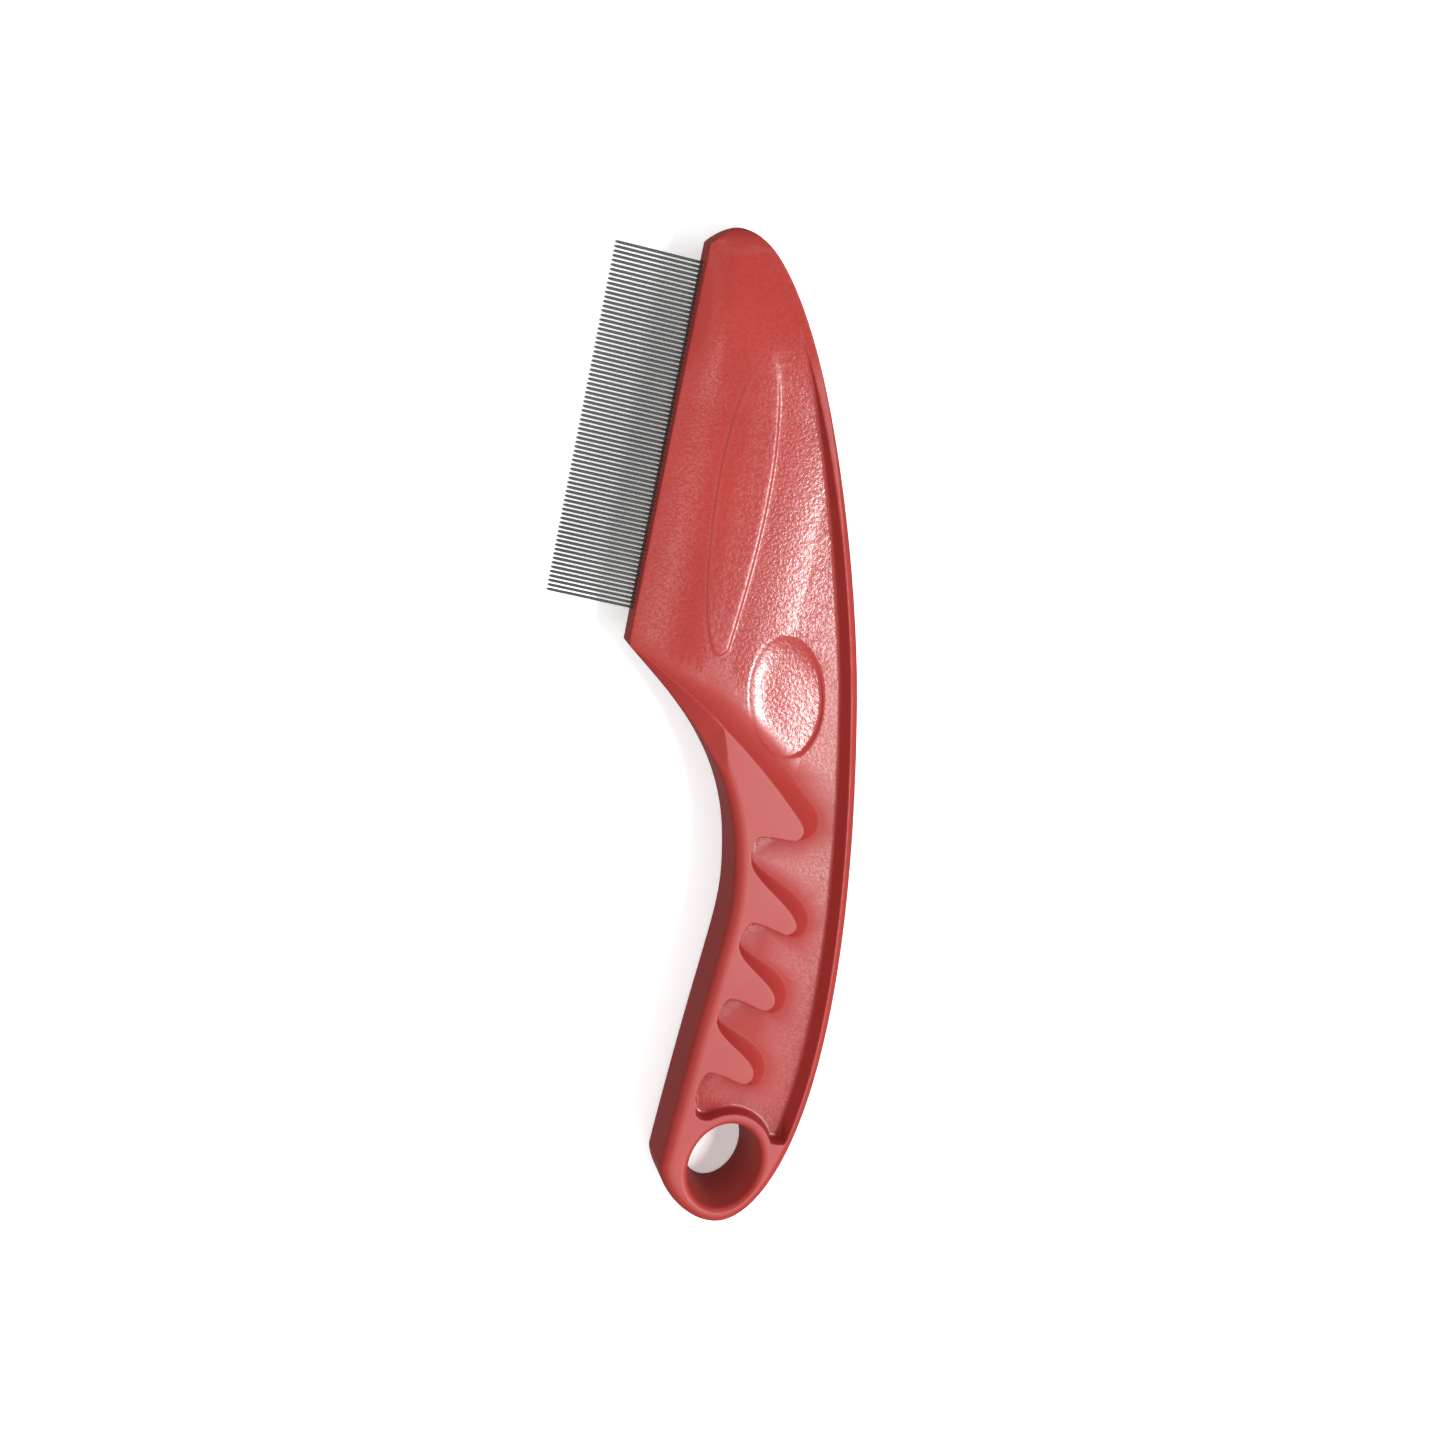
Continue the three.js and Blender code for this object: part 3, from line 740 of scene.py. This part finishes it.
bpy.ops.object.convert(target="MESH")
hairpin = bpy.context.object
close_mesh(hairpin)
bpy.ops.object.shade_smooth_by_angle(angle=math.radians(40))
hairpin.rotation_euler.z = math.pi - ROW_TILT - LEAN
bpy.ops.object.transform_apply(location=True, rotation=True, scale=True)
corners = np.array([v.co for v in hairpin.data.vertices])
own_centre = (corners.min(axis=0) + corners.max(axis=0)) / 2

teeth = []
for node in tooth_nodes:
    low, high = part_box(node)
    tooth = hairpin.copy()
    tooth.data = hairpin.data.copy()
    tooth.name = node.replace("tooth_pair", "hairpin")
    bpy.context.scene.collection.objects.link(tooth)
    select_only(tooth)
    bpy.ops.transform.translate(value=(low + high) / 2 - Vector(own_centre))
    bpy.ops.object.transform_apply(location=True, rotation=True, scale=True)
    teeth.append(tooth)
bpy.data.objects.remove(hairpin)
faces = len(teeth[0].data.polygons)
print(len(teeth), "hairpins of", faces, "faces, pitch", round(PITCH / MM, 4), "mm")

# %% [markdown]
# ## Finishes
# Two materials, both procedural. Hex colours are written as they look on a screen, and one
# function turns them into the linear values that the shader wants. Another adds a node with
# its settings and links, so every material below reads as a short list.

# %% Helpers for materials
def linear(hex_colour):
    """A screen colour such as C23B36 as linear red, green, blue and alpha."""
    values = [int(hex_colour[i : i + 2], 16) / 255 for i in (0, 2, 4)]
    return (*[v / 12.92 if v <= 0.04045 else ((v + 0.055) / 1.055) ** 2.4 for v in values], 1)


def add_node(tree, kind, inputs=None, **settings):
    """Adds a shader node, sets its fields, and fills or links its inputs."""
    node = tree.nodes.new(kind)
    for field, value in settings.items():
        setattr(node, field, value)
    for name, value in (inputs or {}).items():
        if isinstance(value, bpy.types.NodeSocket):
            tree.links.new(value, node.inputs[name])
        else:
            node.inputs[name].default_value = value
    return node


def new_material(name):
    """A material with its node tree and its main shader."""
    material = bpy.data.materials.new(name)
    material.use_nodes = True
    return material, material.node_tree, material.node_tree.nodes["Principled BSDF"]


# %% [markdown]
# ## Glossy red plastic
# The handle is opaque red plastic, a little cloudy in its colour. Its floors are polished and
# carry a fine mould grain that breaks a highlight into sparkles. Its rim and fins are a softer
# satin, and the banks reflect least. The two vertex numbers above choose between the three.

# %% Handle plastic
PLASTIC, PLASTIC_DEEP = linear("A03530"), linear("8E2B27")
CLOUD, GRAIN, GRAIN_DEEP = 18 * MM, 0.55 * MM, 0.03 * MM
plastic, tree, shader = new_material("handle_plastic")
place = add_node(tree, "ShaderNodeTexCoord").outputs["Object"]
cloud = add_node(
    tree, "ShaderNodeTexNoise", {"Vector": place, "Scale": 1 / CLOUD, "Detail": 3.0}
).outputs["Fac"]
tint = add_node(
    tree,
    "ShaderNodeMix",
    {"Factor": cloud, "A": PLASTIC, "B": PLASTIC_DEEP},
    data_type="RGBA",
)
tree.links.new(tint.outputs["Result"], shader.inputs["Base Color"])
sunk_share = add_node(tree, "ShaderNodeAttribute", attribute_name="sunk").outputs["Fac"]
on_floor = add_node(
    tree, "ShaderNodeMapRange", {"Value": sunk_share, "To Min": 0.1, "To Max": 1.0}
).outputs["Result"]
grain = add_node(
    tree,
    "ShaderNodeTexNoise",
    {"Vector": place, "Scale": 1 / GRAIN, "Detail": 2.0, "Roughness": 0.6},
).outputs["Fac"]
bump = add_node(
    tree, "ShaderNodeBump", {"Strength": on_floor, "Distance": GRAIN_DEEP, "Height": grain}
)
tree.links.new(bump.outputs["Normal"], shader.inputs["Normal"])
gloss = add_node(
    tree, "ShaderNodeMapRange", {"Value": sunk_share, "To Min": 0.5, "To Max": 0.2}
).outputs["Result"]
tree.links.new(gloss, shader.inputs["Roughness"])
mottle = add_node(
    tree,
    "ShaderNodeMapRange",
    {"Value": grain, "From Min": 0.38, "From Max": 0.62, "To Min": 0.26, "To Max": 0.62},
).outputs["Result"]
on_level = add_node(tree, "ShaderNodeAttribute", attribute_name="level").outputs["Fac"]
top_gloss = add_node(
    tree, "ShaderNodeMapRange", {"Value": on_level, "To Min": 0.2, "To Max": 0.54}
).outputs["Result"]
mirror_share = add_node(
    tree,
    "ShaderNodeMix",
    {"Factor": sunk_share, "A": top_gloss, "B": mottle},
    data_type="FLOAT",
).outputs["Result"]
tree.links.new(mirror_share, shader.inputs["Specular IOR Level"])
shader.inputs["IOR"].default_value = 1.5
print("handle_plastic has", len(tree.nodes), "nodes")

# %% [markdown]
# ## Polished steel wire
# Drawn stainless wire is bright. Its polish varies a little over a millimetre or two, and the
# grey of the whole row drifts slowly, a painted reflection of wires that don't mirror alike.

# %% Tooth steel
STREAK, DRIFT = 1.5 * MM, 24 * MM
steel, tree, shader = new_material("tooth_steel")
place = add_node(tree, "ShaderNodeTexCoord").outputs["Object"]
streak = add_node(
    tree, "ShaderNodeTexNoise", {"Vector": place, "Scale": 1 / STREAK, "Detail": 3.0}
).outputs["Fac"]
shine = add_node(
    tree, "ShaderNodeMapRange", {"Value": streak, "To Min": 0.3, "To Max": 0.38}
).outputs["Result"]
tree.links.new(shine, shader.inputs["Roughness"])
# painted reflection: slow noise makes the steel's base grey lighter and darker along the row
painted_reflection_drift = add_node(
    tree, "ShaderNodeTexNoise", {"Vector": place, "Scale": 1 / DRIFT, "Detail": 1.0}
).outputs["Fac"]
steel_tone = add_node(
    tree,
    "ShaderNodeMix",
    {"Factor": painted_reflection_drift, "A": linear("383A39"), "B": linear("626462")},
    data_type="RGBA",
)
tree.links.new(steel_tone.outputs["Result"], shader.inputs["Base Color"])
shader.inputs["Metallic"].default_value = 1.0
print("tooth_steel has", len(tree.nodes), "nodes")

# %% [markdown]
# ## Handing the pieces over
# Each piece replaces its CAD node and rides on the frame's only body.

# %% Ride and replace
handle.data.materials.clear()
handle.data.materials.append(plastic)
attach(handle, "root")
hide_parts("handle")
for tooth, node in zip(teeth, tooth_nodes):
    tooth.data.materials.clear()
    tooth.data.materials.append(steel)
    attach(tooth, "root")
    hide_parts(node)
print("handed over:", 1 + len(teeth), "pieces")

# %% [markdown]
# ## Floor and camera
# The comb lies on a plain pale floor that glows faintly, so that shadows stay pale. The camera
# looks almost straight down, a little from the teeth's side.

# %% Stage and camera
PAPER = linear("F4F4F4")
bpy.ops.object.select_all(action="DESELECT")
bpy.ops.mesh.primitive_plane_add(size=6, location=(0, 0, cad_low.z - 0.01 * MM))
floor = bpy.context.object
floor.name = "floor"
paper, tree, shader = new_material("floor_paper")
shader.inputs["Base Color"].default_value = PAPER
shader.inputs["Roughness"].default_value = 0.9
shader.inputs["Emission Color"].default_value = PAPER
shader.inputs["Emission Strength"].default_value = 0.35
floor.data.materials.append(paper)
floor.visible_diffuse = floor.visible_glossy = False  # no pale glare on the comb's side walls

target = Vector((*at(0, 0), MIDDLE))
towards_camera = Vector((-0.20, 0.25, 1)).normalized()
right = Vector((0, 1, 0)).cross(towards_camera).normalized()
up = towards_camera.cross(right)
DISTANCE, PICTURE = 480 * MM, 250.285 * MM  # how far off the camera is, how much it takes in
SENSOR = 36  # millimetres, as the camera's own settings want them
camera_data = bpy.data.cameras.new("camera")
camera_data.sensor_width = SENSOR
camera_data.lens = SENSOR * DISTANCE / PICTURE
camera_data.clip_start = 0.01
camera = bpy.data.objects.new("camera", camera_data)
bpy.context.scene.collection.objects.link(camera)
turned = Matrix((right, up, towards_camera)).transposed().to_4x4()
camera.matrix_world = Matrix.Translation(target + towards_camera * DISTANCE) @ turned
bpy.context.scene.camera = camera
print("camera lens, mm:", round(camera_data.lens, 1))

# %% [markdown]
# ## Light
# A soft key lamp on the right gives the highlights and a weak one on the left lightens the
# teeth's side. The world fills the rest. It is dark overhead and low down and bright between,
# so that level faces don't turn grey with reflections and slopes still catch some.

# %% Lamps and world
def softbox(name, place, width, depth, watts):
    """A rectangular lamp at a place, aimed at the comb."""
    data = bpy.data.lights.new(name, "AREA")
    data.shape = "RECTANGLE"
    data.size, data.size_y = width, depth
    data.energy = watts
    lamp = bpy.data.objects.new(name, data)
    bpy.context.scene.collection.objects.link(lamp)
    aim = (Vector(place) - target).normalized()
    lamp.rotation_euler = aim.to_track_quat("Z", "Y").to_euler()
    lamp.location = place
    return lamp


def from_direction(x, y, z, distance):
    """A place so far from the comb's middle, in that direction."""
    return target + Vector((x, y, z)).normalized() * distance


softbox("key", from_direction(0.5, -0.25, 1, 0.8), 0.11, 0.14, 4.2)
softbox("fill", from_direction(-0.26, -0.14, 1, 0.9), 0.12, 0.3, 0.38)
world = bpy.data.worlds.new("world")
world.use_nodes = True
sky = world.node_tree
way = add_node(sky, "ShaderNodeTexCoord").outputs["Generated"]
parts = add_node(sky, "ShaderNodeSeparateXYZ", {"Vector": way})
ring = add_node(sky, "ShaderNodeValToRGB", {"Fac": parts.outputs["Z"]})
stops = ((0.0, 0.2), (0.15, 0.3), (0.5, 1.0), (0.8, 1.0), (0.92, 0.25), (1.0, 0.25))
for number, (where, bright) in enumerate(stops):
    stop = ring.color_ramp.elements[number] if number < 2 else ring.color_ramp.elements.new(where)
    stop.position = where
    stop.color = (bright, bright, bright, 1)
backdrop = sky.nodes["Background"]
sky.links.new(ring.outputs["Color"], backdrop.inputs["Color"])
strength = add_node(
    sky,
    "ShaderNodeMapRange",
    {"Value": parts.outputs["X"], "From Min": -1.0, "To Min": 1.3, "To Max": 1.8},
)
sky.links.new(strength.outputs["Result"], backdrop.inputs["Strength"])
bpy.context.scene.world = world
bpy.context.scene.view_settings.view_transform = "Standard"
